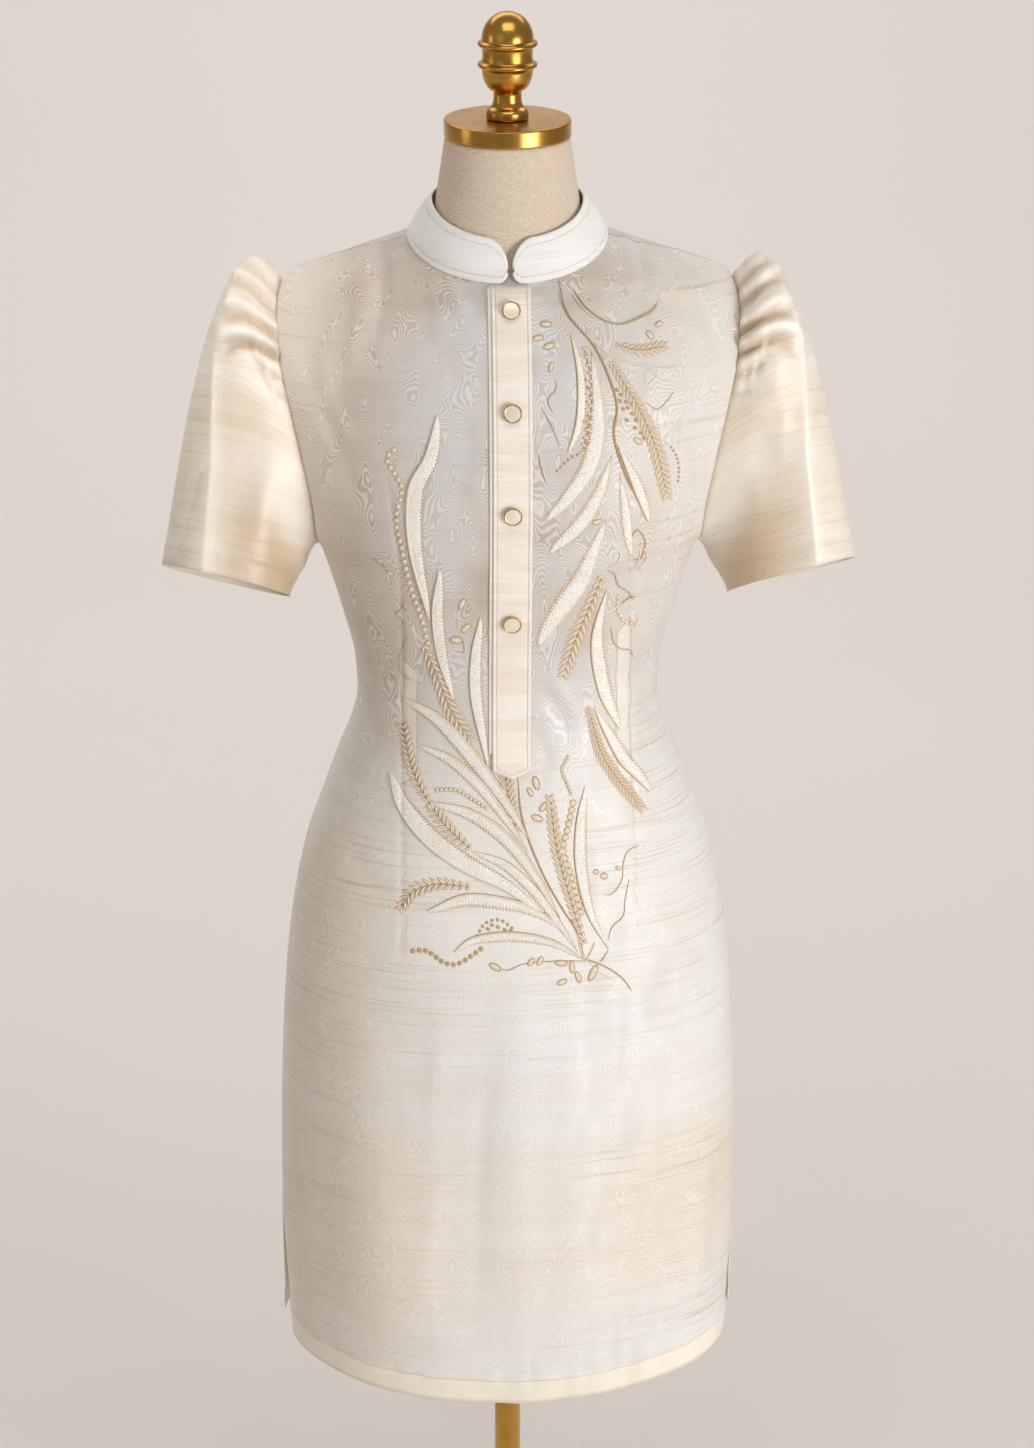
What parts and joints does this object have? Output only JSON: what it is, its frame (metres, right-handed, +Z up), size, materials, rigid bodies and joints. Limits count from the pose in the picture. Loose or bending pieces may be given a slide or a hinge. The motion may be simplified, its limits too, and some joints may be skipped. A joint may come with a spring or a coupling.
{
  "type": "filipiniana dress on a dress form",
  "caption": "Short-sleeved sheath dress with band collar, half placket, puffed butterfly sleeves and side slits, on a limbless dress form with pole and round base.",
  "frame": {"origin": "on the floor, on the pole's axis, centre of the base's underside", "axes": "+Z up, -Y the front, +X the wearer's left"},
  "size_m": [0.577, 0.35, 1.5376],
  "materials": {
    "jusi": "crisp sheer weave over an ivory lining, satin-matte",
    "satin": "stiff satin, soft sheen",
    "collar_cloth": "plain weave, matte",
    "placket_cloth": "plain weave, matte",
    "linen": "coarse linen cover, matte",
    "brass": "polished",
    "button": "pale satin face in a polished rim"
  },
  "bodies": {
    "root": {"front": "jusi", "back": "jusi", "sleeve_left": "satin", "sleeve_right": "satin", "collar": "collar_cloth", "placket_under": "placket_cloth", "placket_over": "placket_cloth", "button_1": "button", "button_2": "button", "button_3": "button", "button_4": "button", "form_torso": "linen", "neck_cap": "brass", "finial": "brass", "pole": "brass", "base": "brass"}
  },
  "joints": []
}
